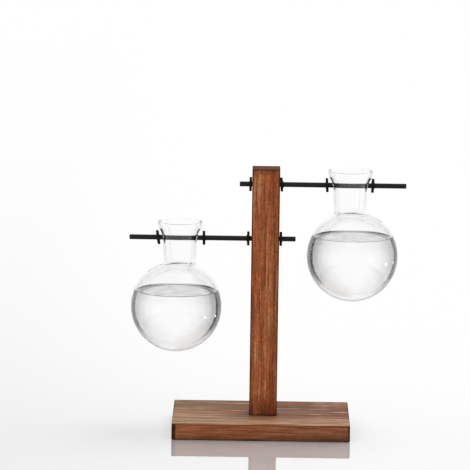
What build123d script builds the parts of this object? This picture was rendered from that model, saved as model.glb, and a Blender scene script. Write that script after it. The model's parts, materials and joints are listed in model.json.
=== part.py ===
from build123d import *
import os
from math import atan2, degrees, hypot, sqrt

# Propagation vase: two glass bulbs hang by their necks on rods that cross a wooden post.
# Millimetres, +Z up, +X to the right as seen from the front, front towards -Y.
# The origin is the middle of the base board's underside.

# Base board
board_length = 160.0
board_depth = 105.0
board_thickness = 15.0
board_edge_round = 1.0

# Post
post_width = 25.0
post_height = 225.0
post_edge_round = 0.8
post_offset = 1.75

# Screws that hold the post from below
screw_diameter = 4.0
screw_length = 40.0
screw_head_diameter = 8.0
screw_head_height = 2.4
screw_head_sink = 0.6
screw_spacing = 12.0
screw_tip_length = 3.0
screw_board_clearance = 0.25
screw_post_clearance = 0.05
screw_slot_length = 4.4
screw_slot_width = 1.0
screw_slot_depth = 1.5

# Rods, each with its height, its far end and its bulb's place measured from the post
rod_diameter = 4.5
rod_length = 150.0
rod_end_chamfer = 0.4
rod_fit = 0.05
upper_rod_below_top = 15.0
rod_spacing = 49.6
lower_rod_reach = 122.7
upper_rod_reach = 126.2
lower_bulb_reach = 77.0
upper_bulb_reach = 75.8

# Glass bulbs, with heights up from the middle of the ball, and each bulb's drop from its rod's axis to there
bulb_diameter = 82.0
bulb_foot_diameter = 18.0
glass_wall = 1.4
ball_offset = 2.8
neck_diameter = 28.2
neck_round = 3.5
throat_diameter = 30.6
throat_height = 60.0
flare_radius = 23.0
flare_angle = 30.0
lip_turn_radius = 11.0
lip_rise = 1.4
lip_diameter = 1.6
rod_hole_diameter = 5.6
bulb_hang_gap = 0.05
lower_bulb_drop = 63.1
upper_bulb_drop = 64.5

# Rubber washers, each with a short conical collar, and the extra slack that four of them stand off by
washer_diameter = 12.8
washer_thickness = 2.0
washer_edge_round = 0.45
washer_fit = 0.05
collar_diameter = 7.8
collar_end_diameter = 5.4
collar_length = 1.5
washer_gap = 0.3
lower_left_post_slack = 1.5
lower_left_bulb_slack = 0.4
lower_right_bulb_slack = 2.15
upper_left_bulb_slack = 0.8

# Every cut runs this far past the face that it opens
overrun = 5.0

board_top = board_thickness
post_top = board_top + post_height
upper_rod_z = post_top - upper_rod_below_top
lower_rod_z = upper_rod_z - rod_spacing
rod_radius = rod_diameter / 2


def bar_along_x(radius, start, end, height):
    """A round bar along X between two places, at one height."""
    return Plane((start, 0, height), z_dir=(1, 0, 0)) * Cylinder(
        radius, end - start, align=(Align.CENTER, Align.CENTER, Align.MIN))


def upright(radius, place, low, high):
    """A round bar along Z at one place in plan."""
    return Pos(place[0], place[1], low) * Cylinder(
        radius, high - low, align=(Align.CENTER, Align.CENTER, Align.MIN))


# Screws: a countersunk head, a plain shank and a pointed end

screw_places = [(post_offset, side * screw_spacing / 2) for side in (-1, 1)]
screw_top = screw_head_sink + screw_length


def screw_solid(place):
    profile = Polyline(
        (0, screw_head_sink),
        (screw_head_diameter / 2, screw_head_sink),
        (screw_diameter / 2, screw_head_sink + screw_head_height),
        (screw_diameter / 2, screw_top - screw_tip_length),
        (0, screw_top),
        close=True,
    )
    screw = revolve(make_face(Plane.XZ * profile), Axis.Z)
    slot = Box(screw_slot_length, screw_slot_width, 2 * screw_slot_depth)
    slots = Pos(0, 0, screw_head_sink) * (slot + Rot(0, 0, 90) * slot)
    return Pos(place[0], place[1], 0) * (screw - slots)


def screw_countersink(place):
    """The cone and the clearance hole that the board has for one screw."""
    head_radius = screw_head_diameter / 2 + screw_board_clearance
    hole_radius = screw_diameter / 2 + screw_board_clearance
    profile = Polyline(
        (0, -overrun),
        (head_radius, -overrun),
        (head_radius, screw_head_sink),
        (hole_radius, screw_head_sink + screw_head_height),
        (hole_radius, board_top + overrun),
        (0, board_top + overrun),
        close=True,
    )
    return Pos(place[0], place[1], 0) * revolve(make_face(Plane.XZ * profile), Axis.Z)


# Base board and post

def base_board():
    board = Pos(0, 0, board_top / 2) * Box(board_length, board_depth, board_thickness)
    board = fillet(board.edges(), board_edge_round)
    for place in screw_places:
        board -= screw_countersink(place)
    return board


def post():
    timber = Pos(post_offset, 0, board_top) * Box(
        post_width, post_width, post_height, align=(Align.CENTER, Align.CENTER, Align.MIN))
    foot = timber.faces().sort_by(Axis.Z)[0].edges()
    timber = fillet([edge for edge in timber.edges() if edge not in foot], post_edge_round)
    left = post_offset - post_width / 2 - overrun
    right = post_offset + post_width / 2 + overrun
    for height in (lower_rod_z, upper_rod_z):
        timber -= bar_along_x(rod_radius + rod_fit, left, right, height)
    for place in screw_places:
        pilot_radius = screw_diameter / 2 + screw_post_clearance
        timber -= upright(pilot_radius, place, board_top - overrun, screw_top + screw_post_clearance)
    return timber


# Rods

def rod(start, height):
    bar = bar_along_x(rod_radius, start, start + rod_length, height)
    ends = bar.edges().filter_by(GeomType.CIRCLE)
    return chamfer(ends, rod_end_chamfer)


# Glass bulb, blown in one piece: ball, neck, funnel and fire-polished lip. The neck is drawn out by hand,
# a little off the ball's middle. The origin is on the neck's axis, level with the middle of the ball.

def neck_outline(inset):
    """The line of the neck and its funnel from the ball's level up to the rim, as edges and the rim's point."""
    neck_radius = neck_diameter / 2
    neck_start = (neck_radius, sqrt((bulb_diameter / 2) ** 2 - neck_radius ** 2))
    rise = (throat_diameter / 2 - neck_start[0], throat_height - neck_start[1])
    length = hypot(*rise)
    slope = (rise[0] / length, rise[1] / length)
    slant = degrees(atan2(*slope))
    throat = (throat_diameter / 2 - inset * slope[1], throat_height + inset * slope[0])
    root = (throat[0] - throat[1] * slope[0] / slope[1], 0)
    flare = JernArc(throat, slope, flare_radius + inset, slant - flare_angle)
    turn = JernArc(flare @ 1, flare % 1, lip_turn_radius - inset, flare_angle)
    top = turn @ 1
    rim = (top.X, top.Y + lip_rise)
    return [Line(root, throat), flare, turn, Line(top, rim)], root, rim


def glass_body(inset, offset):
    """The solid inside one glass surface: the outer one at no inset, the inner one at the wall's."""
    ball_radius = bulb_diameter / 2 - inset
    floor = sqrt((bulb_diameter / 2) ** 2 - (bulb_foot_diameter / 2) ** 2) - inset
    foot_radius = sqrt(ball_radius ** 2 - floor ** 2)
    ball_outline = [
        Line((0, -floor), (foot_radius, -floor)),
        ThreePointArc((foot_radius, -floor), (ball_radius, 0), (0, ball_radius)),
        Line((0, ball_radius), (0, -floor)),
    ]
    side, root, rim = neck_outline(inset)
    neck_section = [Line((0, 0), root), *side, Line(rim, (0, rim[1])), Line((0, rim[1]), (0, 0))]
    ball = revolve(make_face(Plane.XZ * Curve(children=ball_outline)), Axis.Z)
    neck = revolve(make_face(Plane.XZ * Curve(children=neck_section)), Axis.Z)
    ball = Pos(offset, 0, 0) * ball
    body = ball + neck
    return fillet(new_edges(ball, neck, combined=body), neck_round + inset)


def glass_bulb(offset, drop):
    """One bulb about its rod's axis, with its ball that far to the side and that far down."""
    rim = neck_outline(0)[2]
    lip = Pos(0, 0, rim[1]) * Torus(rim[0] - glass_wall / 2, lip_diameter / 2)
    glass = glass_body(0, offset) - glass_body(glass_wall, offset) + lip
    hole_radius = rod_hole_diameter / 2
    hole_drop = hole_radius - rod_radius - bulb_hang_gap
    reach = bulb_diameter / 2
    return Pos(0, 0, -drop) * glass - bar_along_x(hole_radius, -reach, reach, -hole_drop)


# Washers

def washer(face, way, height):
    """One rubber ring on a rod, with its flat at face. Its collar points along X the way that is given."""
    section = Polyline(
        (0, 0),
        (washer_diameter / 2, 0),
        (washer_diameter / 2, washer_thickness),
        (collar_diameter / 2, washer_thickness),
        (collar_end_diameter / 2, washer_thickness + collar_length),
        (0, washer_thickness + collar_length),
        close=True,
    )
    ring = revolve(make_face(Plane.XZ * section), Axis.Z)
    rim = ring.edges().filter_by(GeomType.CIRCLE).group_by(SortBy.RADIUS)[-1]
    ring = fillet(rim, washer_edge_round)
    bore = Cylinder(rod_radius + washer_fit, 2 * (washer_thickness + collar_length + overrun))
    return Plane((face, 0, height), z_dir=(way, 0, 0)) * (ring - bore)


def washer_pair(low, high, height, left_slack=0.0, right_slack=0.0):
    """The washers to the left and the right of what reaches from low to high along a rod."""
    left = washer(low - washer_gap - left_slack, -1, height)
    right = washer(high + washer_gap + right_slack, 1, height)
    return left, right


def bulb_set(place, height, offset, drop, left_slack=0.0, right_slack=0.0):
    """A bulb hung at one place on a rod, with the washers that keep it there."""
    bulb = Pos(place, 0, height) * glass_bulb(offset, drop)
    reach = bulb_diameter / 2
    near_rod = bulb & bar_along_x(washer_diameter / 2, place - reach, place + reach, height)
    guarded = near_rod.bounding_box()
    return bulb, *washer_pair(guarded.min.X, guarded.max.X, height, left_slack, right_slack)


# The whole stand

post_left = post_offset - post_width / 2
post_right = post_offset + post_width / 2

nodes = {
    "base_board": base_board(),
    "post": post(),
    "base_screws": Compound(children=[screw_solid(place) for place in screw_places]),
    "lower_rod": rod(post_offset - lower_rod_reach, lower_rod_z),
    "upper_rod": rod(post_offset + upper_rod_reach - rod_length, upper_rod_z),
}
(nodes["lower_post_washer_left"],
 nodes["lower_post_washer_right"]) = washer_pair(post_left, post_right, lower_rod_z, lower_left_post_slack)
(nodes["upper_post_washer_left"],
 nodes["upper_post_washer_right"]) = washer_pair(post_left, post_right, upper_rod_z)
(nodes["lower_bulb"],
 nodes["lower_bulb_washer_left"],
 nodes["lower_bulb_washer_right"]) = bulb_set(
    post_offset - lower_bulb_reach, lower_rod_z, -ball_offset, lower_bulb_drop,
    lower_left_bulb_slack, lower_right_bulb_slack)
(nodes["upper_bulb"],
 nodes["upper_bulb_washer_left"],
 nodes["upper_bulb_washer_right"]) = bulb_set(
    post_offset + upper_bulb_reach, upper_rod_z, ball_offset, upper_bulb_drop, upper_left_bulb_slack)

os.makedirs("parts", exist_ok=True)
for name, shape in nodes.items():
    export_step(shape, f"parts/{name}.step")
    box = shape.bounding_box()
    print(name, "from", tuple(round(v, 2) for v in box.min), "to", tuple(round(v, 2) for v in box.max))
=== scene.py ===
import json
from math import acos, asin, atan2, cos, pi, radians, sin, sqrt

import bmesh
import bpy
from bpy.props import FloatProperty, FloatVectorProperty, IntProperty, PointerProperty
from bpy.types import Operator, Panel, PropertyGroup
from mathutils import Matrix, Vector


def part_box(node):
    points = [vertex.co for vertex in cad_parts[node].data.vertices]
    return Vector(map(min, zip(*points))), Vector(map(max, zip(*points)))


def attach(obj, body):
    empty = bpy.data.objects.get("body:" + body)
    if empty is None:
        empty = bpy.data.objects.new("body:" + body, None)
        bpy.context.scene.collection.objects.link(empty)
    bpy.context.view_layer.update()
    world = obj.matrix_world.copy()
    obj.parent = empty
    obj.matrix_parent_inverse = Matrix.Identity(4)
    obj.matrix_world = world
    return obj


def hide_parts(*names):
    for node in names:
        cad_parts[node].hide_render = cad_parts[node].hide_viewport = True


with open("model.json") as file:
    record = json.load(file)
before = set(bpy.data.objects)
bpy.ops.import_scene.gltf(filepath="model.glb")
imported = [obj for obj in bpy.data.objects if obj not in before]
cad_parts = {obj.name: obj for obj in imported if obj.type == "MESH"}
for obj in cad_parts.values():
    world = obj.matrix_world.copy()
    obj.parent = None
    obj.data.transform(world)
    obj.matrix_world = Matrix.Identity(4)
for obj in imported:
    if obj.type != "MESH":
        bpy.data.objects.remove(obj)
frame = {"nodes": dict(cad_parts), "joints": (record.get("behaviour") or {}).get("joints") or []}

bl_info = {
    "name": "Propagation vase",
    "version": (1, 0, 0),
    "blender": (4, 5, 0),
    "location": "View3D > Sidebar > Vase",
    "description": "Dresses a propagation vase in blown glass, water, oiled timber, steel and rubber",
    "category": "Object",
}

MM = 0.001
LEVELS = ("lower", "upper")
LATHE, BLOWN = "Turned on a lathe", "Blown and drilled"
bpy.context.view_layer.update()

# Kinds of node, and settings that many nodes share

MATH, RANGE, MIX = "ShaderNodeMath", "ShaderNodeMapRange", "ShaderNodeMix"
VECTOR, SPLIT = "ShaderNodeVectorMath", "ShaderNodeSeparateXYZ"
SMOOTH = {"interpolation_type": "SMOOTHSTEP"}
IN_COLOUR = {"data_type": "RGBA"}
PLUS, MINUS = {"operation": "ADD"}, {"operation": "SUBTRACT"}
TIMES, TIMES_PLUS = {"operation": "MULTIPLY"}, {"operation": "MULTIPLY_ADD"}
SCALED, UNSIGNED = {"operation": "SCALE"}, {"operation": "ABSOLUTE"}
LARGER, SMALLER = {"operation": "MAXIMUM"}, {"operation": "MINIMUM"}


# Small helpers

def linear(hex_colour):
    """An sRGB hex colour as linear red, green and blue, with full alpha."""
    channels = [int(hex_colour[i:i + 2], 16) / 255 for i in (1, 3, 5)]
    return (*(c / 12.92 if c <= 0.04045 else ((c + 0.055) / 1.055) ** 2.4 for c in channels), 1.0)


def number(name, value, description, **kind):
    """A number that a user can change."""
    return FloatProperty(name=name, description=description, default=value, **kind)


def length(name, size_mm, description):
    """A length that a user can change, with its default in millimetres."""
    return number(name, size_mm * MM, description, unit="LENGTH", subtype="DISTANCE", precision=4)


def colour(name, hex_colour, description):
    """A colour that a user can change."""
    return FloatVectorProperty(name=name, description=description, default=linear(hex_colour),
                               subtype="COLOR", size=4, min=0, max=1)


def add(tree, kind, sockets=(), **settings):
    """Adds a node with its settings. Its sockets, by name or as the open ones in order, get plain values or
    what feeds them."""
    node = tree.nodes.new(kind)
    for name, value in settings.items():
        setattr(node, name, value)
    if isinstance(sockets, dict):
        pairs = [(node.inputs[key], value) for key, value in sockets.items()]
    else:
        pairs = zip([socket for socket in node.inputs if socket.enabled], sockets)
    for socket, value in pairs:
        if isinstance(value, bpy.types.Node):
            value = next(output for output in value.outputs if output.enabled)
        if isinstance(value, bpy.types.NodeSocket):
            tree.links.new(value, socket)
        else:
            socket.default_value = value
    return node


def arc(centre, radius, start, end, steps):
    """Points on an arc from one angle to another, in radians from the first axis."""
    turns = [start + (end - start) * i / steps for i in range(steps + 1)]
    return [(centre[0] + radius * cos(t), centre[1] + radius * sin(t)) for t in turns]


def straight(start, end, steps):
    """Points along a line, without its two ends."""
    return [(start[0] + (end[0] - start[0]) * i / steps, start[1] + (end[1] - start[1]) * i / steps)
            for i in range(1, steps)]


# Sizes and colours

class BulbSizes(PropertyGroup):
    """The blown glass. Heights are measured up from the middle of the ball."""
    ball: length("Ball", 82.0, "Across the ball")
    foot: length("Foot", 18.0, "Across the flat under the ball")
    wall: length("Wall", 1.4, "Thickness of the glass")
    set_off: length("Set-off", 2.8, "How far the ball stands off the neck's axis, away from the post")
    set_off_share: number("Set-off share", 0.76, "Share of the ball's radius that is set off in full")
    upright_share: number("Upright share", 1.04, "Share of the ball's radius above which nothing is set off")
    neck: length("Neck", 28.2, "Across the neck where it leaves the ball")
    neck_round: length("Neck round", 3.5, "Radius between ball and neck")
    throat: length("Throat", 30.6, "Across the neck where its funnel starts")
    throat_height: length("Throat height", 60.0, "Height at which the funnel starts")
    flare: length("Flare", 23.0, "Radius of the funnel's outward curve")
    flare_angle: number("Flare angle", radians(30), "How far the funnel leans out", subtype="ANGLE")
    lip_turn: length("Lip turn", 11.0, "Radius that brings the funnel back upright")
    lip_rise: length("Lip rise", 1.4, "Upright part under the lip")
    lip: length("Lip", 1.6, "Across the fire-polished bead of the lip")
    hole: length("Hole", 5.6, "Across the two holes for the rod")
    hang_gap: length("Hang gap", 0.05, "Between the top of a hole and the rod")
    lower_drop: length("Lower drop", 63.1, "From the lower rod's axis down to the middle of its ball")
    upper_drop: length("Upper drop", 64.5, "From the upper rod's axis down to the middle of its ball")
    sides: IntProperty(name="Sides", description="Faces round the glass", default=160, min=24)


class WaterSizes(PropertyGroup):
    """The water that stands in the balls, measured from the middle of each ball."""
    lower_level: length("Lower level", 14.3, "Height of the water in the lower ball")
    upper_level: length("Upper level", 17.6, "Height of the water in the upper ball")
    seat: length("Seat", 0.15, "How far the water's skin lies inside the glass wall")
    climb: length("Climb", 0.9, "How far the water climbs the glass at its edge")
    climb_reach: length("Climb reach", 2.4, "How far in from the glass that climb starts")


class TrimSizes(PropertyGroup):
    """Rods and rubber washers."""
    rod_round: length("Rod end", 0.45, "Radius on the ends of the rods")
    rod_sides: IntProperty(name="Rod sides", description="Faces round a rod", default=48, min=12)
    washer_round: length("Washer edge", 0.55, "Radius on the rim of a washer")
    washer_thick: length("Washer", 2.3, "Thickness of a washer beside its collar")
    collar: length("Collar", 7.8, "Across a washer's longest collar at its foot")
    collar_end: length("Collar end", 5.2, "Across the collar at its end")
    collar_reach: length("Collar reach", 1.2, "How far the longest collar reaches along the rod")
    washer_sides: IntProperty(name="Washer sides", description="Faces round a washer", default=64, min=12)


class ClearColours(PropertyGroup):
    """What light turns to in the glass and the water. All but the clear colour are painted reflections of the
    dim room.
    """
    clear: colour("Clear", "#FEFEFE", "Glass and water seen face on")
    # The glass edge colour is a painted reflection of the dim room
    glass_edge: colour("Glass edge", "#616363", "Glass seen edge on")
    rim: colour("Water rim", "#1D1D1D", "The dark band along the outline of a ball of water")
    underline: colour("Water underline", "#595959", "The thin line under a ball of water")
    top: colour("Water top", "#7C7D7D", "The water's top seen at a glance")


class TimberColours(PropertyGroup):
    """Stain and figure of the post and the board."""
    post_light: colour("Post light", "#B27248", "Pale streaks in the post")
    post_mid: colour("Post middle", "#8E4B29", "The post's main colour")
    # The dark colour also paints the shade at the post's foot
    post_dark: colour("Post dark", "#5E2B12", "Dark streaks in the post")
    post_ruddy: colour("Post ruddy", "#9A5032", "Ruddy patches in the post")
    board_light: colour("Board light", "#C49574", "Pale bands in the board, and its rubbed front edge")
    board_mid: colour("Board middle", "#7D583A", "The board's main colour")
    board_dark: colour("Board dark", "#4F3424", "Dark lines in the board")
    board_ruddy: colour("Board ruddy", "#874F35", "Ruddy patches in the board, and its front face")
    board_sunny: colour("Board sunny", "#AA6038", "The left of the board's front face")
    board_khaki: colour("Board khaki", "#B59A6C", "The left of the board's top")
    # The edge colour is stain in the end grain, stain with a painted shade along the edges and the board's
    # ends, and a painted shade on the board's foot
    edge: colour("Edges", "#24140D", "Stain gathered along the edges and in the end grain")


class StudioSizes(PropertyGroup):
    """Camera and floor."""
    eye: FloatVectorProperty(name="Eye", description="Where the camera stands", subtype="TRANSLATION",
                             unit="LENGTH", size=3, default=(-5.26 * MM, -3128.4 * MM, 682.25 * MM))
    heading: number("Heading", 0.00654, "How far the camera turns to the left", subtype="ANGLE")
    dip: number("Dip", 0.15971, "How far the camera looks down", subtype="ANGLE")
    roll: number("Roll", 0.01348, "How far the camera is tipped", subtype="ANGLE")
    lens: number("Lens", 268.91, "Focal length in millimetres on a 36 mm wide sensor")
    floor_reach: length("Floor reach", 30000.0, "Half the width of the floor")
    # The floor grey is a painted shade, where the light falls off to the left
    floor_grey: colour("Floor grey", "#D0D0D0", "The floor to the left of the vase")
    floor_white: colour("Floor white", "#E8E8E8", "The floor from the vase to the right")


class VaseSettings(PropertyGroup):
    """Everything that a user can change."""
    bulb: PointerProperty(type=BulbSizes)
    water: PointerProperty(type=WaterSizes)
    trim: PointerProperty(type=TrimSizes)
    clear: PointerProperty(type=ClearColours)
    timber: PointerProperty(type=TimberColours)
    studio: PointerProperty(type=StudioSizes)


# Places taken from the frame

def outward(level):
    """The way from the post to a bulb: the lower one hangs on the left, the upper one on the right."""
    return -1 if level == "lower" else 1


def ball_middle(level, bulb):
    """Where the middle of a bulb's ball would be if it hung straight under the rod that it swings on."""
    swing = next(j for j in frame["joints"] if j["name"] == f"{level}_bulb_swing")
    return Vector(swing["pos_m"]) - Vector((0, 0, getattr(bulb, f"{level}_drop")))


def half_height(node):
    """Half a node's height, which is the radius of a rod or a washer."""
    low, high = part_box(node)
    return (high.z - low.z) / 2


# Geometry trees

def group_with(name, inputs):
    """An empty geometry tree with a geometry input, named inputs and a geometry output."""
    tree = bpy.data.node_groups.new(name, "GeometryNodeTree")
    tree.interface.new_socket("Geometry", in_out="INPUT", socket_type="NodeSocketGeometry")
    for label, kind in inputs:
        tree.interface.new_socket(label, in_out="INPUT", socket_type=kind)
    tree.interface.new_socket("Geometry", in_out="OUTPUT", socket_type="NodeSocketGeometry")
    return tree, add(tree, "NodeGroupInput").outputs


def end_tree(tree, geometry, finish):
    """Every tree ends in real geometry that has its finish."""
    real = add(tree, "GeometryNodeRealizeInstances", {"Geometry": geometry})
    done = add(tree, "GeometryNodeSetMaterial", {"Geometry": real, "Material": finish})
    add(tree, "NodeGroupOutput", {"Geometry": done})


def lathe_tree():
    """Turns a profile round the upright axis. The profile's points hold radius in X and height in Z."""
    tree, given = group_with(LATHE, [("Sides", "NodeSocketInt"), ("Finish", "NodeSocketMaterial")])
    rows = add(tree, "GeometryNodeAttributeDomainSize", {"Geometry": given["Geometry"]}).outputs["Point Count"]
    columns = add(tree, MATH, (given["Sides"], 1), **PLUS)
    grid = add(tree, "GeometryNodeMeshGrid", {
        "Size X": 1, "Size Y": 1, "Vertices X": columns, "Vertices Y": rows})
    share = add(tree, SPLIT, (grid.outputs["UV Map"],)).outputs
    last = add(tree, MATH, (rows, 1), **MINUS)
    # The half keeps a row's number clear of the next one down when it is cut to a whole number
    row = add(tree, MATH, (share["Y"], last, 0.5), **TIMES_PLUS)
    point = add(tree, "GeometryNodeSampleIndex", {
        "Geometry": given["Geometry"], "Value": add(tree, "GeometryNodeInputPosition"), "Index": row,
    }, data_type="FLOAT_VECTOR")
    size = add(tree, SPLIT, (point,)).outputs
    turn = add(tree, MATH, (share["X"], 2 * pi), **TIMES)
    flat = [add(tree, MATH, (size["X"], add(tree, MATH, (turn,), operation=way)), **TIMES)
            for way in ("COSINE", "SINE")]
    place = add(tree, "ShaderNodeCombineXYZ", (*flat, size["Z"]))
    skin = add(tree, "GeometryNodeSetPosition", {"Geometry": grid, "Position": place})
    closed = add(tree, "GeometryNodeMergeByDistance", {"Geometry": skin, "Distance": 0.002 * MM})
    smooth = add(tree, "GeometryNodeSetShadeSmooth", {"Geometry": closed})
    end_tree(tree, smooth, given["Finish"])


def blown_tree():
    """A turned bulb whose ball stands off its neck and whose neck is drilled for the rod."""
    tree, given = group_with(BLOWN, [
        ("Sides", "NodeSocketInt"), ("Finish", "NodeSocketMaterial"), ("Set-off", "NodeSocketVector"),
        ("Ball top", "NodeSocketFloat"), ("Neck root", "NodeSocketFloat"), ("Hole radius", "NodeSocketFloat"),
        ("Hole length", "NodeSocketFloat"), ("Hole place", "NodeSocketVector")])
    turned = add(tree, "GeometryNodeGroup", node_tree=bpy.data.node_groups[LATHE])
    for label in ("Geometry", "Sides", "Finish"):
        tree.links.new(given[label], turned.inputs[label])
    height = add(tree, SPLIT, (add(tree, "GeometryNodeInputPosition"),)).outputs["Z"]
    share = add(tree, RANGE, (height, given["Ball top"], given["Neck root"], 1.0, 0.0), **SMOOTH)
    shift = add(tree, VECTOR, (given["Set-off"], share), **SCALED)
    blown = add(tree, "GeometryNodeSetPosition", {"Geometry": turned, "Offset": shift})
    drill = add(tree, "GeometryNodeMeshCylinder", {
        "Vertices": 96, "Radius": given["Hole radius"], "Depth": given["Hole length"]})
    laid = add(tree, "GeometryNodeTransform", {
        "Geometry": drill, "Rotation": (0, pi / 2, 0), "Translation": given["Hole place"]})
    drilled = add(tree, "GeometryNodeMeshBoolean", {"Mesh 1": blown, "Mesh 2": laid},
                  operation="DIFFERENCE", solver="EXACT")
    end_tree(tree, drilled, given["Finish"])


def shape_from(name, points, tree_name, inputs, place, sharp_angle):
    """Runs a tree on a profile and keeps its result as a plain mesh at its place in the frame."""
    tree = bpy.data.node_groups[tree_name]
    profile = bpy.data.meshes.new(name + "_profile")
    profile.from_pydata([(r, 0, z) for r, z in points], [(i, i + 1) for i in range(len(points) - 1)], [])
    blank = bpy.data.objects.new(name + "_profile", profile)
    bpy.context.scene.collection.objects.link(blank)
    modifier = blank.modifiers.new(tree.name, "NODES")
    modifier.node_group = tree
    sockets = {item.name: item.identifier for item in tree.interface.items_tree if item.in_out == "INPUT"}
    for label, value in inputs.items():
        modifier[sockets[label]] = value
    graph = bpy.context.evaluated_depsgraph_get()
    mesh = bpy.data.meshes.new_from_object(blank.evaluated_get(graph))
    blank.modifiers.remove(modifier)
    bpy.data.objects.remove(blank)
    bpy.data.meshes.remove(profile)
    if not mesh.polygons:
        raise RuntimeError(f"{name} came out empty")
    mesh.name = name
    work = bmesh.new()
    work.from_mesh(mesh)
    bmesh.ops.recalc_face_normals(work, faces=work.faces)
    work.transform(place)
    work.to_mesh(mesh)
    work.free()
    mesh.set_sharp_from_angle(angle=sharp_angle)
    piece = bpy.data.objects.new(name, mesh)
    bpy.context.scene.collection.objects.link(piece)
    return piece


def finish_solid(node, finish):
    """A solid that keeps its own shape takes its finish."""
    for slot in frame["nodes"][node].material_slots:
        slot.material = finish


def settle(piece, body, slot, *nodes):
    """The piece rides on its body and stands for its nodes. Its slot is not used."""
    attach(piece, body)
    if nodes:
        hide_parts(*nodes)


# Materials

def material(name):
    """A new material and its empty tree."""
    made = bpy.data.materials.new(name)
    made.use_nodes = True
    made.node_tree.nodes.clear()
    return made, made.node_tree


def surface(tree, sockets):
    """Ends a material's tree in a Principled shader."""
    add(tree, "ShaderNodeOutputMaterial", {"Surface": add(tree, "ShaderNodeBsdfPrincipled", sockets)})


def patches(tree, place, sizes_mm, detail, seed, roughness=0.5):
    """A pattern of soft patches that are as long along each axis as given."""
    spread = add(tree, "ShaderNodeMapping", {
        "Vector": place, "Location": (seed, seed * 1.7, seed * 2.3),
        "Scale": [1 / (size * MM) for size in sizes_mm]})
    return add(tree, "ShaderNodeTexNoise", (spread, 1, detail, roughness)).outputs


def seen_from(tree):
    """From 0 where a surface is met square on, to 1 where it is met edge on."""
    return add(tree, "ShaderNodeLayerWeight", {"Blend": 0.5}).outputs["Facing"]


def blown_glass(level, colours, neck_height):
    """Blown borosilicate glass: clear, with the faint waviness of handwork. Edge on it turns grey, a painted
    reflection of the dim room, most of all in the drawn neck, and least on the ball's shoulder and underside,
    which lie flat."""
    wave_size, wave_depth, neck_reach = 22, 0.3 * MM, 8 * MM
    ball_grey_from, neck_grey_from, flat_keep = 0.66, 0.5, 0.3
    made, tree = material(f"Blown borosilicate glass, {level} bulb")
    coordinate = add(tree, "ShaderNodeTexCoord").outputs
    wave = patches(tree, coordinate["Object"], (wave_size,) * 3, detail=1, seed=0)[0]
    height = add(tree, SPLIT, (coordinate["Object"],)).outputs["Z"]
    neck_end = neck_height + neck_reach
    grey_from = add(tree, RANGE, (height, neck_height, neck_end, ball_grey_from, neck_grey_from))
    # Painted reflection: the glass greys where it is seen edge on
    edge_on = add(tree, RANGE, (seen_from(tree), grey_from, 1.0), **SMOOTH)
    flat = add(tree, MATH, (add(tree, SPLIT, (coordinate["Normal"],)).outputs["Z"],), **UNSIGNED)
    keep = add(tree, RANGE, (flat, 0.5, 0.9, 1.0, flat_keep), **SMOOTH)
    share = add(tree, MATH, (edge_on, keep), **TIMES)
    tone = add(tree, MIX, (share, colours.clear, colours.glass_edge), **IN_COLOUR)
    surface(tree, {
        "Base Color": tone, "Roughness": 0.0, "IOR": 1.47, "Transmission Weight": 1.0,
        "Normal": add(tree, "ShaderNodeBump", {"Height": wave, "Strength": 0.05, "Distance": wave_depth})})
    return made


def dim_rim(tree, coordinate, normal, facing, colours):
    """The painted reflection of the dim room in the rim of a ball of water: a wide grey fringe that fades
    down the ball, and a dark band along its outline. Fine wisps break it up, and it is a little wider on the
    side towards the post."""
    side = add(tree, MATH, (add(tree, SPLIT, (coordinate["Object"],)).outputs["X"],), operation="SIGN")
    outer = add(tree, MATH, (side, normal["X"]), **TIMES)
    wisps = patches(tree, coordinate["Object"], (2, 2, 12), detail=2, seed=4.4)[0]
    seen = add(tree, MATH, (facing, add(tree, MATH, (wisps, 0.04, -0.02), **TIMES_PLUS)), **PLUS)
    fringe, band = (add(tree, MATH, (outer, narrower, seen), **TIMES_PLUS) for narrower in (-0.025, -0.012))
    grey = add(tree, RANGE, (fringe, 0.03, 0.22, 1.0, 0.32), **SMOOTH)
    fade = add(tree, RANGE, (normal["Z"], -0.8, 0.0, 0.25, 1.0), **SMOOTH)
    grey = add(tree, "ShaderNodeCombineColor", (grey,) * 3)
    tone = add(tree, MIX, (fade, colours.clear, grey), **IN_COLOUR)
    band_share = add(tree, MATH, (add(tree, RANGE, (band, 0.212, 0.230), **SMOOTH),
                                  add(tree, RANGE, (normal["Z"], -0.8, -0.35), **SMOOTH)), **TIMES)
    tone = add(tree, MIX, (band_share, tone, colours.rim), **IN_COLOUR)
    # A painted shade dims the water's upward-facing side a little
    return add(tree, VECTOR, (tone, add(tree, RANGE, (normal["Z"], 0.05, 0.4, 1.0, 0.84), **SMOOTH)), **SCALED)


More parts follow.
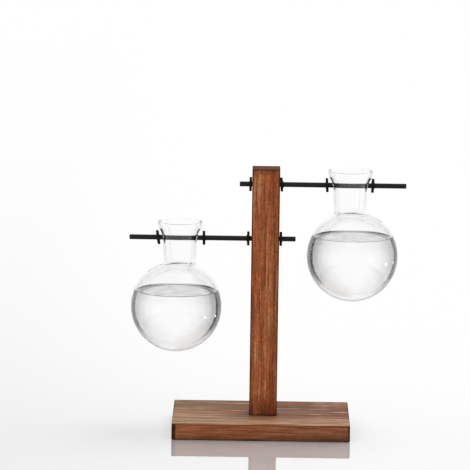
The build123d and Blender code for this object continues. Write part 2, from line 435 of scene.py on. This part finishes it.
def still_water(colours):
    """Still tap water. A ball of it gathers the dim sides of the room into a dark rim, which is drawn here by
    the angle at which the water's skin is seen, because the studio is white all round."""
    made, tree = material("Still water")
    coordinate = add(tree, "ShaderNodeTexCoord").outputs
    normal = add(tree, SPLIT, (coordinate["Normal"],)).outputs
    facing = seen_from(tree)
    outside = add(tree, MATH, (1.0, add(tree, "ShaderNodeNewGeometry").outputs["Backfacing"]), **MINUS)
    # At the sides alone, never on the water's top, nor where the skin is met from inside
    keep, sideways = outside, add(tree, MATH, (normal["X"],), **UNSIGNED)
    for share in (add(tree, RANGE, (normal["Z"], 0.5, 0.7, 1.0, 0.0), **SMOOTH),
                  add(tree, RANGE, (sideways, 0.0, 0.4, 0.3, 1.0), **SMOOTH)):
        keep = add(tree, MATH, (keep, share), **TIMES)
    dim = dim_rim(tree, coordinate, normal, facing, colours)
    tone = add(tree, MIX, (keep, colours.clear, dim), **IN_COLOUR)
    # Under the ball the painted rim thins to a line
    line = add(tree, MATH, (add(tree, RANGE, (facing, 0.255, 0.272), **SMOOTH),
                            add(tree, RANGE, (normal["Z"], -0.7, -0.3, 0.8, 0.0), **SMOOTH)), **TIMES)
    tone = add(tree, MIX, (add(tree, MATH, (line, outside), **TIMES), tone, colours.underline), **IN_COLOUR)
    # The water's top, met at a glance, gets the same painted reflection of the dim sides of the room, in
    # patches
    glance = add(tree, RANGE, (facing, 0.6, 0.85), **SMOOTH)
    broken = patches(tree, coordinate["Object"], (8, 5, 5), detail=2, seed=9.1)[0]
    for share in (add(tree, RANGE, (normal["Z"], 0.45, 0.6), **SMOOTH),
                  add(tree, RANGE, (broken, 0.38, 0.6, 0.55, 1.0))):
        glance = add(tree, MATH, (glance, share), **TIMES)
    tone = add(tree, MIX, (glance, tone, colours.top), **IN_COLOUR)
    surface(tree, {"Base Color": tone, "Roughness": 0.0, "IOR": 1.333, "Transmission Weight": 1.0})
    return made


def clouded(name, tones, gloss, cloud, grain, relief, **sockets):
    """A finish whose tone and roughness drift between two values in soft clouds, over a fine relief. Cloud and
    grain are each a size in millimetres and a detail, and relief is a strength and a depth in millimetres."""
    made, tree = material(name)
    place = add(tree, "ShaderNodeTexCoord").outputs["Object"]
    drift, height = (patches(tree, place, (size,) * 3, detail, seed=0)[0] for size, detail in (cloud, grain))
    dark, pale = (linear(tone) for tone in tones)
    strength, depth = relief
    bump = {"Height": height, "Strength": strength, "Distance": depth * MM}
    surface(tree, {
        "Base Color": add(tree, MIX, (drift, dark, pale), **IN_COLOUR),
        "Roughness": add(tree, RANGE, (drift, 0, 1, *gloss)),
        "Normal": add(tree, "ShaderNodeBump", bump),
        **sockets})
    return made


def satin_black_steel():
    """Steel rod with a satin black powder coat: a fine orange peel that breaks up its highlight."""
    return clouded("Satin black coated steel", ("#101211", "#171918"), gloss=(0.40, 0.48),
                   cloud=(0.5, 2), grain=(0.5, 2), relief=(0.06, 0.03), **{"Specular IOR Level": 0.2})


def moulded_rubber():
    """Moulded black nitrile rubber: nearly matt, with a dusty bloom in patches."""
    return clouded("Moulded black rubber", ("#080706", "#151412"), gloss=(0.55, 0.75),
                   cloud=(3, 3), grain=(0.3, 2), relief=(0.2, 0.03), **{"Specular IOR Level": 0.15})


def zinc_plate():
    """Bright zinc plate on the screws, cloudy from its bath."""
    return clouded("Zinc-plated steel", ("#9A9C9E", "#C9CBCC"), gloss=(0.25, 0.45),
                   cloud=(1.2, 4), grain=(1.2, 4), relief=(0.1, 0.02), Metallic=1.0)


def late_wood(tree, place, grain, pith, lean, ring, wander, reach):
    """The dark part of each year's growth, from 0 to 1. The rings lie round a pith line outside the piece that
    leans off its length, so they come out at the faces as long arches. Sizes are millimetres."""
    drift = patches(tree, place, wander, detail=2, seed=3.1)["Color"]
    drift = add(tree, VECTOR, (add(tree, VECTOR, (drift, (0.5, 0.5, 0.5)), **MINUS), reach * MM), **SCALED)
    parts = add(tree, SPLIT, (add(tree, VECTOR, (place, drift), **PLUS),)).outputs
    squares = []
    for axis, start, slope in zip([axis for axis in "XYZ" if axis != grain], pith, lean):
        line = add(tree, MATH, (parts[grain], slope, start * MM), **TIMES_PLUS)
        leg = add(tree, MATH, (parts[axis], line), **MINUS)
        squares.append(add(tree, MATH, (leg, leg), **TIMES))
    from_pith = add(tree, MATH, (add(tree, MATH, squares, **PLUS),), operation="SQRT")
    years = add(tree, MATH, (from_pith, 1 / (ring * MM)), **TIMES)
    season = add(tree, MATH, (years,), operation="FRACT")
    # The wood darkens slowly through the year and turns pale again at once
    darkening = add(tree, RANGE, (season, 0.2, 0.8), **SMOOTH)
    return add(tree, MATH, (darkening, add(tree, RANGE, (season, 0.86, 1.0), **SMOOTH)), **MINUS)


def under_edge(tree, off, half):
    """How far a point lies from a box's nearest edge: the second smallest of its depths under the faces."""
    depth = add(tree, VECTOR, (half, add(tree, VECTOR, (off,), **UNSIGNED)), **MINUS)
    a, b, c = add(tree, SPLIT, (depth,)).outputs
    low, high = add(tree, MATH, (a, b), **SMALLER), add(tree, MATH, (a, b), **LARGER)
    return add(tree, MATH, (low, add(tree, MATH, (high, c), **SMALLER)), **LARGER)


def timber(name, box, grain, tones, rings, streaks, fibres, mottle, late_strength, marks):
    """Stained and oiled softwood. Dark late wood, streaks and fibres run along the grain, and stain gathers
    in the end grain. Along the edges, stain and a painted shade darken it together. Streaks, fibres and mottle
    give their sizes in millimetres, the last two with how much they change the tone. Marks adds what one
    piece has of its own."""
    made, tree = material(name)
    coordinate = add(tree, "ShaderNodeTexCoord").outputs
    place = coordinate["Object"]
    middle, half = (box[1] + box[0]) / 2, (box[1] - box[0]) / 2
    off = add(tree, VECTOR, (place, middle), **MINUS)
    facing = add(tree, SPLIT, (add(tree, VECTOR, (coordinate["Normal"],), **UNSIGNED),)).outputs
    late = late_wood(tree, place, grain, **rings)
    clouds = patches(tree, place, (22, 22, 22), detail=1, seed=19.9)[0]
    fibre = patches(tree, place, fibres[0], detail=2, seed=7.7, roughness=0.6)[0]
    speckle = patches(tree, place, mottle[0], detail=1, seed=31.1)[0]
    pale = add(tree, RANGE, (patches(tree, place, streaks, detail=2, seed=11.3)[0], 0.38, 0.64), **SMOOTH)
    tone = add(tree, MIX, (pale, tones["mid"], tones["light"]), **IN_COLOUR)
    ruddy = add(tree, RANGE, (clouds, 0.42, 0.62, 0.0, 0.7), **SMOOTH)
    tone = add(tree, MIX, (ruddy, tone, tones["ruddy"]), **IN_COLOUR)
    tone, edge_keep, late_keep = marks(tree, tone, add(tree, SPLIT, (off,)).outputs, half, facing, tones)
    late_share = add(tree, MATH, (add(tree, MATH, (late, late_keep), **TIMES), late_strength), **TIMES)
    tone = add(tree, MIX, (late_share, tone, tones["dark"]), **IN_COLOUR)
    for pattern, strength in ((fibre, fibres[1]), (speckle, mottle[1])):
        shade = add(tree, RANGE, (pattern, 0.3, 0.7, 1 - strength, 1 + strength), **SMOOTH)
        tone = add(tree, VECTOR, (tone, shade), **SCALED)
    end_share = add(tree, RANGE, (facing[grain], 0.6, 0.9, 0.0, 0.7), **SMOOTH)
    tone = add(tree, MIX, (end_share, tone, tones["edge"]), **IN_COLOUR)
    # Stain and a painted shade darken a band along every edge
    edge_reach = add(tree, RANGE, (clouds, 0.3, 0.7, 1.2 * MM, 2.2 * MM))
    edge_share = add(tree, RANGE, (under_edge(tree, off, half), 0.0, edge_reach, 0.92, 0.0), **SMOOTH)
    edge_share = add(tree, MATH, (edge_share, edge_keep), **TIMES)
    tone = add(tree, MIX, (edge_share, tone, tones["edge"]), **IN_COLOUR)
    relief = add(tree, MATH, (late, 0.35, fibre), **TIMES_PLUS)
    surface(tree, {
        "Base Color": tone, "Specular IOR Level": add(tree, RANGE, (facing[grain], 0.6, 0.9, 0.06, 0.02)),
        "Roughness": add(tree, RANGE, (fibre, 0.3, 0.7, 0.44, 0.58), **SMOOTH),
        "Normal": add(tree, "ShaderNodeBump", {"Height": relief, "Strength": 0.3, "Distance": 0.12 * MM})})
    return made


def post_marks(tree, tone, off, half, _, tones):
    """The post is paler along its middle and darker along its right side and at its upper end. A painted shade
    darkens its foot, where it stands on the board, most of all at the foot's right-hand corner."""
    pale_off, pale_reach, foot_reach, corner_reach = 1 * MM, 9 * MM, 24 * MM, 9 * MM
    end_from, end_full, side_from, corner_from = 7 * MM, 1 * MM, 2 * MM, 3 * MM
    beside = add(tree, MATH, (add(tree, MATH, (off["X"], pale_off), **PLUS),), **UNSIGNED)
    pale = add(tree, RANGE, (beside, pale_off, pale_reach, 0.25, 0.0), **SMOOTH)
    tone = add(tree, MIX, (pale, tone, tones["light"]), **IN_COLOUR)
    height = add(tree, MATH, (off["Z"], half.z), **PLUS)
    # Painted shade at the foot, where the post stands on the board, deepest at the right-hand corner
    foot = add(tree, RANGE, (height, 0.0, foot_reach, 0.6, 0.0), **SMOOTH)
    corner = add(tree, MATH, (add(tree, RANGE, (height, 0.0, corner_reach, 0.8, 0.0), **SMOOTH),
                              add(tree, RANGE, (off["X"], corner_from, half.x), **SMOOTH)), **TIMES)
    upper_end = add(tree, RANGE, (off["Z"], half.z - end_from, half.z - end_full, 0.0, 0.45), **SMOOTH)
    stained_and_shaded = add(tree, RANGE, (off["X"], side_from, half.x, 0.0, 0.2), **SMOOTH)
    for share in (foot, corner, upper_end):
        stained_and_shaded = add(tree, MATH, (stained_and_shaded, share), **LARGER)
    return add(tree, MIX, (stained_and_shaded, tone, tones["dark"]), **IN_COLOUR), 1.0, 1.0


def rubbed_strip(tree, off, half, facing):
    """The strip along the upper front edge that hands have rubbed. It is wider on the left."""
    full_until, left_reach, right_reach = 14 * MM, 74 * MM, 46 * MM
    reach = add(tree, RANGE, (off["X"], -half.x, 0.0, -half.y + left_reach, -half.y + right_reach))
    strip = add(tree, RANGE, (off["Y"], -half.y + full_until, reach, 1.0, 0.0), **SMOOTH)
    return add(tree, MATH, (strip, add(tree, RANGE, (facing["Z"], 0.8, 0.98), **SMOOTH)), **TIMES)


def worn_edge(tree, off, half):
    """The upper front edge on the front face's side, where the stain is worn off too."""
    full_in, none_in, full_down, none_down = 1.2 * MM, 2.4 * MM, 1.8 * MM, 3.5 * MM
    near_front = add(tree, RANGE, (off["Y"], -half.y + full_in, -half.y + none_in, 0.75, 0.0), **SMOOTH)
    near_top = add(tree, RANGE, (off["Z"], half.z - none_down, half.z - full_down), **SMOOTH)
    return add(tree, MATH, (near_front, near_top), **TIMES)


def board_marks(tree, tone, off, half, facing, tones):
    """The board's upper front edge is rubbed pale, its back is darker, its front face is ruddier and turns
    from orange on the left to brown on the right, and its front face is darkened at its foot by a painted
    shade and at its ends by stain and a painted shade."""
    back_from, foot_reach = 30 * MM, 7 * MM
    left_dark, left_clear, right_clear, right_dark = 2.6 * MM, 4.6 * MM, 2.6 * MM, 1.0 * MM
    upright = facing["Y"]
    rubbed = rubbed_strip(tree, off, half, facing)
    left_front = add(tree, RANGE, (off["X"], -half.x, half.x, 0.5, 0.0))
    left_top = add(tree, RANGE, (off["X"], -half.x, 0.0, 0.35, 0.0))
    for share, shade in (
        (add(tree, RANGE, (off["Y"], -half.y + back_from, half.y, 0.0, 0.3)), "dark"),
        (add(tree, RANGE, (upright, 0.1, 0.6, 0.0, 0.8), **SMOOTH), "ruddy"),
        (add(tree, MATH, (left_front, upright), **TIMES), "sunny"),
        (add(tree, MATH, (rubbed, 0.9), **TIMES), "light"),
        (add(tree, MATH, (left_top, facing["Z"]), **TIMES), "khaki"),
    ):
        tone = add(tree, MIX, (share, tone, tones[shade]), **IN_COLOUR)
    # Painted shade along the front face's foot, and stain with painted shade at its ends
    stained_and_shaded = add(tree, RANGE, (off["Z"], -half.z, -half.z + foot_reach, 0.55, 0.0), **SMOOTH)
    for share in (
        add(tree, RANGE, (off["X"], -half.x + left_dark, -half.x + left_clear, 0.93, 0.0), **SMOOTH),
        add(tree, RANGE, (off["X"], half.x - right_clear, half.x - right_dark, 0.0, 0.7), **SMOOTH),
    ):
        stained_and_shaded = add(tree, MATH, (stained_and_shaded, share), **LARGER)
    tone = add(tree, MIX, (add(tree, MATH, (stained_and_shaded, upright), **TIMES), tone, tones["edge"]), **IN_COLOUR)
    worn = add(tree, MATH, (rubbed, worn_edge(tree, off, half)), **LARGER)
    edge_keep = add(tree, MATH, (1.0, worn), **MINUS)
    late_keep = add(tree, MATH, (add(tree, RANGE, (upright, 0.2, 0.8, 1.0, 0.35), **SMOOTH),
                                 add(tree, RANGE, (rubbed, 0.0, 1.0, 1.0, 0.45))), **TIMES)
    return tone, edge_keep, late_keep


def seen_by_eye(tree):
    """1 for rays that the camera, gloss and glass send out, and 0 for those that light a matt surface."""
    ray = add(tree, "ShaderNodeLightPath").outputs
    either = add(tree, MATH, (ray["Is Camera Ray"], ray["Is Glossy Ray"]), **LARGER)
    return add(tree, MATH, (either, ray["Is Transmission Ray"]), **LARGER)


def gloss_floor(studio):
    """Polished white acrylic sheet: plain white under a clear reflection. A painted shade makes it a little
    greyer to the left, and behind the vase it turns into the white background, which only the camera, gloss
    and glass see."""
    grey_until, white_from = -300 * MM, 90 * MM
    # How fast the sheet turns into the background, for each metre behind the vase
    left_fade, right_fade = -1.3, -4.5
    made, tree = material("Polished white acrylic")
    place = add(tree, SPLIT, (add(tree, "ShaderNodeTexCoord").outputs["Object"],)).outputs
    # Painted shade: greyer to the left
    right = add(tree, RANGE, (place["X"], grey_until, white_from), **SMOOTH)
    tone = add(tree, MIX, (right, studio.floor_grey, studio.floor_white), **IN_COLOUR)
    base = add(tree, "ShaderNodeBsdfPrincipled", {"Base Color": tone, "Roughness": 0.02, "IOR": 1.49})
    mirror = add(tree, "ShaderNodeBsdfGlossy", {"Color": (1, 1, 1, 1), "Roughness": 0.01})
    sheet = add(tree, "ShaderNodeMixShader", (0.35, base, mirror))
    behind = add(tree, MATH, (place["Y"], 0.0), **LARGER)
    fall = add(tree, MATH, (behind, add(tree, RANGE, (right, 0, 1, left_fade, right_fade))), **TIMES)
    far = add(tree, MATH, (1.0, add(tree, MATH, (fall,), operation="EXPONENT")), **MINUS)
    backdrop = add(tree, "ShaderNodeEmission", ((1, 1, 1, 1), 1.0))
    share = add(tree, MATH, (far, seen_by_eye(tree)), **TIMES)
    shown = add(tree, "ShaderNodeMixShader", (share, sheet, backdrop))
    add(tree, "ShaderNodeOutputMaterial", {"Surface": shown})
    return made


# Outlines of turned pieces

def ball_to_mouth(bulb, inset):
    """One surface of the glass from its foot on the axis up to the lip, and the lip's place.
    The outer surface has no inset."""
    foot_steps, ball_steps, round_steps, neck_steps, flare_steps, turn_steps = 6, 64, 8, 12, 12, 8
    ball_radius = bulb.ball / 2 - inset
    floor = sqrt((bulb.ball / 2) ** 2 - (bulb.foot / 2) ** 2) - inset
    foot_radius = sqrt(ball_radius ** 2 - floor ** 2)
    neck_start = Vector((bulb.neck / 2, sqrt((bulb.ball / 2) ** 2 - (bulb.neck / 2) ** 2)))
    rise = (Vector((bulb.throat / 2, bulb.throat_height)) - neck_start).normalized()
    out = Vector((rise.y, -rise.x))
    throat = Vector((bulb.throat / 2, bulb.throat_height)) - out * inset
    # The round between ball and neck touches both: its middle is one radius outside each of them
    radius = bulb.neck_round + inset
    beside = throat + out * radius
    along = beside.dot(rise)
    back = -along + sqrt(along ** 2 - beside.length_squared + (ball_radius + radius) ** 2)
    middle = beside + rise * back
    ball_touch = middle.normalized() * ball_radius
    neck_touch = middle - out * radius

    def turn(point, centre):
        """The angle at which a point lies from a centre."""
        return atan2(point[1] - centre[1], point[0] - centre[0])

    points = [(0.0, -floor)] + straight((0.0, -floor), (foot_radius, -floor), foot_steps)
    start, end = turn((foot_radius, -floor), (0, 0)), turn(ball_touch, (0, 0))
    points += arc((0, 0), ball_radius, start, end, ball_steps)
    start, end = turn(ball_touch, middle) % (2 * pi), turn(neck_touch, middle) % (2 * pi)
    points += arc(middle, radius, start, end, round_steps)[1:]
    points += straight(tuple(neck_touch), tuple(throat), neck_steps)
    # Out on the funnel's curve, back upright on the lip's, then straight up
    slant = atan2(rise.x, rise.y)
    flare_middle = throat + out * (bulb.flare + inset)
    points += arc(flare_middle, bulb.flare + inset, pi - slant, pi - bulb.flare_angle, flare_steps)
    waist = Vector(points[-1])
    turn_radius = bulb.lip_turn - inset
    lip_middle = waist - Vector((cos(bulb.flare_angle), -sin(bulb.flare_angle))) * turn_radius
    points += arc(lip_middle, turn_radius, -bulb.flare_angle, 0.0, turn_steps)[1:]
    return points, (points[-1][0], points[-1][1] + bulb.lip_rise)


def glass_outline(bulb):
    """The whole wall of a bulb: up its outside, round the bead of the lip and down its inside."""
    bead_steps = 20
    outside, rim = ball_to_mouth(bulb, 0.0)
    inside, _ = ball_to_mouth(bulb, bulb.wall)
    bead = bulb.lip / 2
    lean = asin(bulb.wall / 2 / bead)
    middle = (rim[0] - bulb.wall / 2, rim[1])
    return outside + arc(middle, bead, lean - pi / 2, 3 * pi / 2 - lean, bead_steps) + inside[::-1]


def water_outline(bulb, water, level):
    """The water's skin: under the glass of the ball, then the climb at its edge, then flat to the axis."""
    floor_steps, ball_steps, climb_steps, top_steps = 6, 72, 16, 24
    inward_power, settling_power = 1.5, 4
    radius = bulb.ball / 2 - bulb.wall + water.seat
    floor = sqrt((bulb.ball / 2) ** 2 - (bulb.foot / 2) ** 2) - bulb.wall + water.seat
    top = asin((level + water.climb) / radius)
    bottom = -acos(sqrt(radius ** 2 - floor ** 2) / radius)
    points = [(0.0, -floor)]
    points += straight(points[0], (radius * cos(bottom), -floor), floor_steps)
    points += arc((0.0, 0.0), radius, bottom, top, ball_steps)
    edge = points[-1][0]
    for i in range(1, climb_steps + 1):
        inward = (i / climb_steps) ** inward_power
        height = water.climb * (1 - inward) ** settling_power
        points.append((edge - water.climb_reach * inward, level + height))
    points += straight(points[-1], (0.0, level), top_steps)
    return points + [(0.0, level)]


def rod_outline(radius, reach, end_round):
    """Half a rod's section, from one end on the axis to the other."""
    end_steps, side_steps = 5, 40
    points = [(0.0, 0.0)] + arc((radius - end_round, end_round), end_round, -pi / 2, 0, end_steps)
    points += straight(points[-1], (radius, reach - end_round), side_steps)
    points += arc((radius - end_round, reach - end_round), end_round, 0, pi / 2, end_steps)
    return points + [(0.0, reach)]


def washer_outline(bore, radius, drawn_out, trim):
    """A rubber ring's section as a closed loop: flat faces, a rounded rim, and a collar that tapers along the
    rod in a hollow curve. Drawn_out is the collar's share of the longest one."""
    edge_steps, collar_steps, bore_steps, hollow_power = 6, 8, 4, 1.6
    edge, thickness = trim.washer_round, trim.washer_thick
    points = [(bore, 0.0)]
    points += arc((radius - edge, edge), edge, -pi / 2, 0, edge_steps)
    points += arc((radius - edge, thickness - edge), edge, 0, pi / 2, edge_steps)
    for i in range(collar_steps + 1):
        share = i / collar_steps
        spread = (trim.collar - trim.collar_end) * drawn_out * (1 - share) ** hollow_power
        points.append(((trim.collar_end + spread) / 2, thickness + trim.collar_reach * drawn_out * share))
    points.append((bore, points[-1][1]))
    return points + straight(points[-1], (bore, 0.0), bore_steps) + [(bore, 0.0)]


# Operators

class VASE_OT_timber(Operator):
    """Stains and oils the post and the base board"""
    bl_idname = "vase.timber"
    bl_label = "Post and board"

    def execute(self, context):
        finish_solid("post", timber(
            "Walnut-stained pine post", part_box("post"), "Z", self.tones(context, "post"),
            rings={"pith": (-26, 34), "lean": (0.02, 0.01), "ring": 4.2, "wander": (14, 14, 120), "reach": 5},
            streaks=(1.9, 1.9, 90), fibres=((0.9, 0.9, 24), 0.34), mottle=((1.2, 1.2, 2.4), 0.2),
            late_strength=0.4, marks=post_marks))
        finish_solid("base_board", timber(
            "Walnut-stained pine board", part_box("base_board"), "X", self.tones(context, "board"),
            rings={"pith": (-74, -30), "lean": (0.11, 0.05), "ring": 5.8, "wander": (130, 40, 30), "reach": 7},
            streaks=(90, 9, 4), fibres=((34, 4.0, 1.4), 0.36), mottle=((3.0, 2.0, 1.2), 0.09),
            late_strength=0.85, marks=board_marks))
        return {"FINISHED"}

    def tones(self, context, piece):
        """The colours of one piece by their short names, with the stain that gathers on both."""
        colours = context.scene.vase.timber
        names = [name for name in colours.__annotations__ if name.startswith(piece)]
        tones = {name.removeprefix(f"{piece}_"): getattr(colours, name) for name in names}
        return {**tones, "edge": colours.edge}


class VASE_OT_screws(Operator):
    """Plates the screws under the board"""
    bl_idname = "vase.screws"
    bl_label = "Screws"

    def execute(self, context):
        finish_solid("base_screws", zinc_plate())
        return {"FINISHED"}


class VASE_OT_bulbs(Operator):
    """Blows the two glass bulbs and drills their necks for the rods"""
    bl_idname = "vase.bulbs"
    bl_label = "Glass bulbs"

    def execute(self, context):
        settings = context.scene.vase
        bulb = settings.bulb
        ball_radius, hole_radius = bulb.ball / 2, bulb.hole / 2
        for level in LEVELS:
            middle = ball_middle(level, bulb)
            rod_top = getattr(bulb, f"{level}_drop") + half_height(f"{level}_rod")
            inputs = {
                "Sides": bulb.sides, "Finish": blown_glass(level, settings.clear, middle.z + ball_radius),
                "Set-off": (outward(level) * bulb.set_off, 0.0, 0.0),
                "Ball top": bulb.set_off_share * ball_radius, "Neck root": bulb.upright_share * ball_radius,
                "Hole radius": hole_radius, "Hole length": bulb.ball,
                "Hole place": (0.0, 0.0, rod_top + bulb.hang_gap - hole_radius),
            }
            piece = shape_from(f"{level}_glass_bulb", glass_outline(bulb), BLOWN, inputs,
                               Matrix.Translation(middle), radians(50))
            settle(piece, f"{level}_bulb_body", "clear_glass", f"{level}_bulb")
        return {"FINISHED"}


class VASE_OT_water(Operator):
    """Fills the two bulbs with water"""
    bl_idname = "vase.water"
    bl_label = "Water"

    def execute(self, context):
        settings = context.scene.vase
        bulb, water = settings.bulb, settings.water
        inputs = {"Sides": bulb.sides, "Finish": still_water(settings.clear)}
        for level in LEVELS:
            centre = ball_middle(level, bulb) + Vector((outward(level) * bulb.set_off, 0, 0))
            outline = water_outline(bulb, water, getattr(water, f"{level}_level"))
            place = Matrix.Translation(centre)
            piece = shape_from(f"{level}_water", outline, LATHE, inputs, place, radians(60))
            settle(piece, f"{level}_bulb_body", "clear_glass")
        return {"FINISHED"}


class VASE_OT_rods(Operator):
    """Turns and coats the two rods"""
    bl_idname = "vase.rods"
    bl_label = "Rods"

    def execute(self, context):
        trim = context.scene.vase.trim
        inputs = {"Sides": trim.rod_sides, "Finish": satin_black_steel()}
        for level in LEVELS:
            low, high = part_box(f"{level}_rod")
            outline = rod_outline(half_height(f"{level}_rod"), high.x - low.x, trim.rod_round)
            place = Matrix.Translation((low.x, 0, (low.z + high.z) / 2)) @ Matrix.Rotation(pi / 2, 4, "Y")
            piece = shape_from(f"{level}_rod_bar", outline, LATHE, inputs, place, radians(40))
            settle(piece, f"{level}_rod_body", "rod_metal", f"{level}_rod")
        return {"FINISHED"}


class VASE_OT_washers(Operator):
    """Moulds the rubber washers, each set on its rod the way it was pushed there"""
    bl_idname = "vase.washers"
    bl_label = "Washers"

    # For each washer, the way its collar points, its lean along the rod for each unit of height, and its
    # collar's share of the longest one
    SETTINGS = {
        "lower_post_washer_left": (-1, 0.0, 0.5), "lower_post_washer_right": (1, 0.0, 0.2),
        "upper_post_washer_left": (-1, 0.02, 0.2), "upper_post_washer_right": (1, -0.06, 0.7),
        "lower_bulb_washer_left": (-1, -0.15, 0.3), "lower_bulb_washer_right": (1, -0.02, 0.3),
        "upper_bulb_washer_left": (-1, -0.05, 0.3), "upper_bulb_washer_right": (1, 0.04, 0.5),
    }

    def execute(self, context):
        trim = context.scene.vase.trim
        inputs = {"Sides": trim.washer_sides, "Finish": moulded_rubber()}
        rod_radius = half_height("lower_rod")
        for node, (way, tip, drawn_out) in self.SETTINGS.items():
            low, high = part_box(node)
            outline = washer_outline(rod_radius, half_height(node), drawn_out, trim)
            turned = Matrix.Rotation(way * pi / 2, 4, "Y")
            tipped = Matrix(((1, 0, tip, 0), (0, 1, 0, 0), (0, 0, 1, 0), (0, 0, 0, 1)))
            face = Matrix.Translation((low.x if way > 0 else high.x, 0, (low.z + high.z) / 2))
            place = face @ tipped @ turned
            piece = shape_from(f"{node}_ring", outline, LATHE, inputs, place, radians(35))
            settle(piece, f"{node}_body", "washer_rubber", node)
        return {"FINISHED"}


class VASE_OT_stage(Operator):
    """Sets the white floor, the soft light and the camera"""
    bl_idname = "vase.stage"
    bl_label = "Stage"

    # The name, place, size and power of each lamp, in metres and watts. The soft lamps light the wood and cast
    # the shadow, and only the sparks show, as points in the glass.
    LAMPS = (
        ("soft_key", Vector((0.55, 0.5, 1.7)), 1.1, 14.0),
        ("soft_fill", Vector((-1.1, -1.4, 0.9)), 1.2, 6.0),
        ("near_spark", Vector((-1.25, 2.76, 0.03)), 0.05, 0.1),
        ("far_spark", Vector((-1.9, 2.2, 0.12)), 0.09, 0.6),
    )
    LAMPS_AIM = Vector((0, 0, 0.12))

    def execute(self, context):
        scene = context.scene
        studio = scene.vase.studio
        reach = studio.floor_reach
        mesh = bpy.data.meshes.new("studio_floor")
        mesh.from_pydata([(-reach, -reach, 0), (reach, -reach, 0), (reach, reach, 0), (-reach, reach, 0)],
                         [], [(0, 1, 2, 3)])
        floor = bpy.data.objects.new("studio_floor", mesh)
        floor.data.materials.append(gloss_floor(studio))
        scene.collection.objects.link(floor)
        self.light(scene)
        self.camera(scene, studio)
        scene.view_settings.view_transform = "Standard"
        # Light crosses up to a dozen skins of glass and water before it leaves a bulb
        for kind in ("max_bounces", "transmission_bounces", "glossy_bounces"):
            setattr(scene.cycles, kind, 64)
        return {"FINISHED"}

    def light(self, scene):
        """White to the camera, gloss and glass, and a plain level of soft light on everything else."""
        world = bpy.data.worlds.new("White studio")
        scene.world = world
        world.use_nodes = True
        tree = world.node_tree
        tree.nodes.clear()
        white, soft = (add(tree, "ShaderNodeBackground", ((1, 1, 1, 1), level)) for level in (1.0, 0.75))
        add(tree, "ShaderNodeOutputWorld", {
            "Surface": add(tree, "ShaderNodeMixShader", (seen_by_eye(tree), soft, white))})
        for name, place, size, power in self.LAMPS:
            lamp = bpy.data.lights.new(name, "AREA")
            lamp.size = size
            lamp.energy = power
            holder = bpy.data.objects.new(name, lamp)
            holder.location = place
            holder.visible_camera = holder.visible_glossy = False
            holder.visible_transmission = "spark" in name
            holder.rotation_euler = (self.LAMPS_AIM - place).to_track_quat("-Z", "Y").to_euler()
            scene.collection.objects.link(holder)

    def camera(self, scene, studio):
        """Looks level along +Y at first, then turns, dips and tips as the photograph's camera did."""
        data = bpy.data.cameras.new("camera")
        data.sensor_width = 36
        data.lens = studio.lens
        data.clip_end = 100
        camera = bpy.data.objects.new("camera", data)
        aim = (Matrix.Rotation(studio.heading, 4, "Z") @ Matrix.Rotation(pi / 2 - studio.dip, 4, "X")
               @ Matrix.Rotation(studio.roll, 4, "Z"))
        camera.matrix_world = Matrix.Translation(studio.eye) @ aim
        scene.collection.objects.link(camera)
        scene.camera = camera


class VASE_PT_sidebar(Panel):
    """Lists the pieces and their sizes in the sidebar of the 3D view"""
    bl_idname = "VASE_PT_sidebar"
    bl_label = "Propagation vase"
    bl_space_type = "VIEW_3D"
    bl_region_type = "UI"
    bl_category = "Vase"

    def draw(self, context):
        settings = context.scene.vase
        for operator in OPERATORS:
            self.layout.operator(operator.bl_idname)
        for name in VaseSettings.__annotations__:
            group = getattr(settings, name)
            box = self.layout.box()
            for key in group.__annotations__:
                box.prop(group, key)


OPERATORS = (VASE_OT_timber, VASE_OT_screws, VASE_OT_bulbs, VASE_OT_water, VASE_OT_rods, VASE_OT_washers,
             VASE_OT_stage)
GROUPS = (BulbSizes, WaterSizes, TrimSizes, ClearColours, TimberColours, StudioSizes, VaseSettings)
CLASSES = (*GROUPS, *OPERATORS, VASE_PT_sidebar)


def register():
    for cls in CLASSES:
        bpy.utils.register_class(cls)
    bpy.types.Scene.vase = PointerProperty(type=VaseSettings)


def unregister():
    del bpy.types.Scene.vase
    for cls in reversed(CLASSES):
        bpy.utils.unregister_class(cls)


def main():
    """Makes every piece in order."""
    register()
    lathe_tree()
    blown_tree()
    bpy.ops.vase.timber()
    bpy.ops.vase.screws()
    bpy.ops.vase.bulbs()
    bpy.ops.vase.water()
    bpy.ops.vase.rods()
    bpy.ops.vase.washers()
    bpy.ops.vase.stage()


if __name__ == "__main__":
    main()
